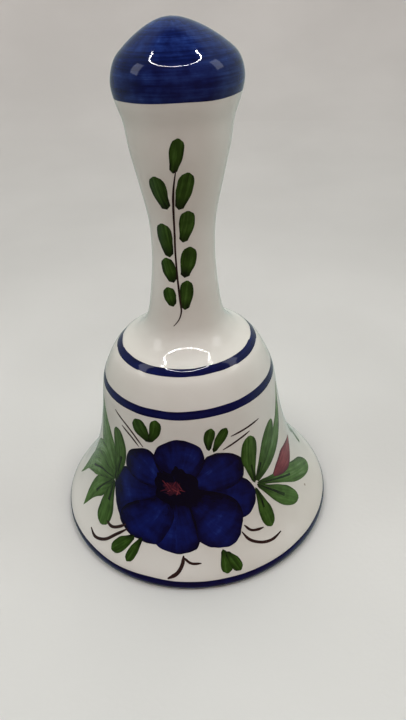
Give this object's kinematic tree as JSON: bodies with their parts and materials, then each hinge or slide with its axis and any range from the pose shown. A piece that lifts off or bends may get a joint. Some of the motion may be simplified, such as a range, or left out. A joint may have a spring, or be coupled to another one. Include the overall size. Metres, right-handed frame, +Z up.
{
  "type": "porcelain hand bell",
  "caption": "Glazed ceramic hand bell with a flared skirt, rounded shoulder, hollow waisted handle, domed knob and a ball clapper hung inside on a short chain.",
  "frame": {"origin": "middle of the rim's flat foot, on the surface the bell stands on", "axes": "+Z up through the handle; the painted front faces -Y, and +X is to its right"},
  "size_m": [0.075, 0.075, 0.1223],
  "materials": {
    "white_glaze": "warm white transparent glaze over white clay, high gloss, bare clay on the foot ring",
    "plaster": "cast plaster, dull and slightly pitted",
    "brass_wire": "drawn brass wire, lightly tarnished",
    "bisque": "unglazed fired clay, matt and fine grained",
    "cobalt_paint": "cobalt blue brushed under the glaze, streaked, high gloss",
    "leaf_paint": "leaf green brushed under the glaze, paler where thin, high gloss",
    "line_paint": "thin dark brown brush line under the glaze, high gloss",
    "bud_paint": "dull crimson brushed under the glaze, high gloss"
  },
  "bodies": {
    "bell": {"bell_body": "white_glaze", "neck_plug": "plaster", "hanger_eye": "brass_wire"},
    "link_1": {"chain_link_1": "brass_wire"},
    "link_2": {"chain_link_2": "brass_wire"},
    "link_3": {"chain_link_3": "brass_wire"},
    "clapper": {"clapper_pin": "brass_wire"},
    "ball": {"clapper_ball": "bisque"}
  },
  "joints": [
    {"name": "link_1_swing", "type": "hinge", "parent": "bell", "child": "link_1", "pos_m": [0, 0, 0.0455], "axis": [1, 0, 0], "range_deg": [-17, 17]},
    {"name": "link_2_swing", "type": "hinge", "parent": "link_1", "child": "link_2", "pos_m": [0, 0, 0.0399], "axis": [0, 1, 0], "range_deg": [-22, 22]},
    {"name": "link_3_swing", "type": "hinge", "parent": "link_2", "child": "link_3", "pos_m": [0, 0, 0.0343], "axis": [1, 0, 0], "range_deg": [-7, 7]},
    {"name": "clapper_swing", "type": "hinge", "parent": "link_3", "child": "clapper", "pos_m": [0, 0, 0.0287], "axis": [0, 1, 0], "range_deg": [-7, 7]},
    {"name": "ball_spin", "type": "hinge", "parent": "clapper", "child": "ball", "pos_m": [0, 0, 0.01645], "axis": [0, 0, 1], "continuous": true}
  ]
}
